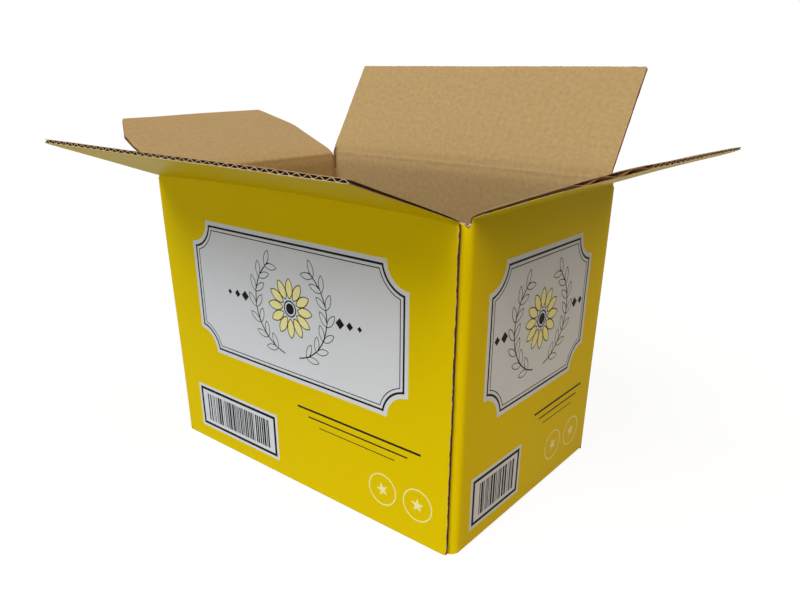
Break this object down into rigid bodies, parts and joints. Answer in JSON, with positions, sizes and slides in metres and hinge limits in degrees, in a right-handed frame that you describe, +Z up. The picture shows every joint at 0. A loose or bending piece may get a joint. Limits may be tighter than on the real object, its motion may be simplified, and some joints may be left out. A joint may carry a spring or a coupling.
{
  "type": "corrugated box",
  "caption": "Upright corrugated board carton, kraft inside and printed outside, glued at one corner and along its bottom, with hinged top flaps standing open.",
  "frame": {"origin": "middle of the bottom, on the surface the box stands on", "axes": "+X along the long sides, towards the end wall with the glued corner's fold; -Y out of the front panel; +Z up out of the open top"},
  "size_m": [0.3914, 0.2779, 0.2561],
  "materials": {
    "printed_board": "satin",
    "kraft_board": "matte"
  },
  "bodies": {
    "body": {"box_body": "printed_board"},
    "front_flap": {"front_flap": "kraft_board"},
    "back_flap": {"back_flap": "kraft_board"},
    "right_flap": {"right_flap": "kraft_board"},
    "left_flap": {"left_flap": "kraft_board"}
  },
  "joints": [
    {"name": "front_flap_crease", "type": "hinge", "parent": "body", "child": "front_flap", "pos_m": [0, -0.082, 0.1905], "axis": [1, 0, 0], "range_deg": [-164, 101]},
    {"name": "back_flap_crease", "type": "hinge", "parent": "body", "child": "back_flap", "pos_m": [0, 0.082, 0.1905], "axis": [-1, 0, 0], "range_deg": [-122.5, 142.5]},
    {"name": "right_flap_crease", "type": "hinge", "parent": "body", "child": "right_flap", "pos_m": [0.1215, 0, 0.18755], "axis": [0, 1, 0], "range_deg": [-161.5, 103.5]},
    {"name": "left_flap_crease", "type": "hinge", "parent": "body", "child": "left_flap", "pos_m": [-0.1215, 0, 0.18755], "axis": [0, -1, 0], "range_deg": [-158.5, 106.5]}
  ]
}
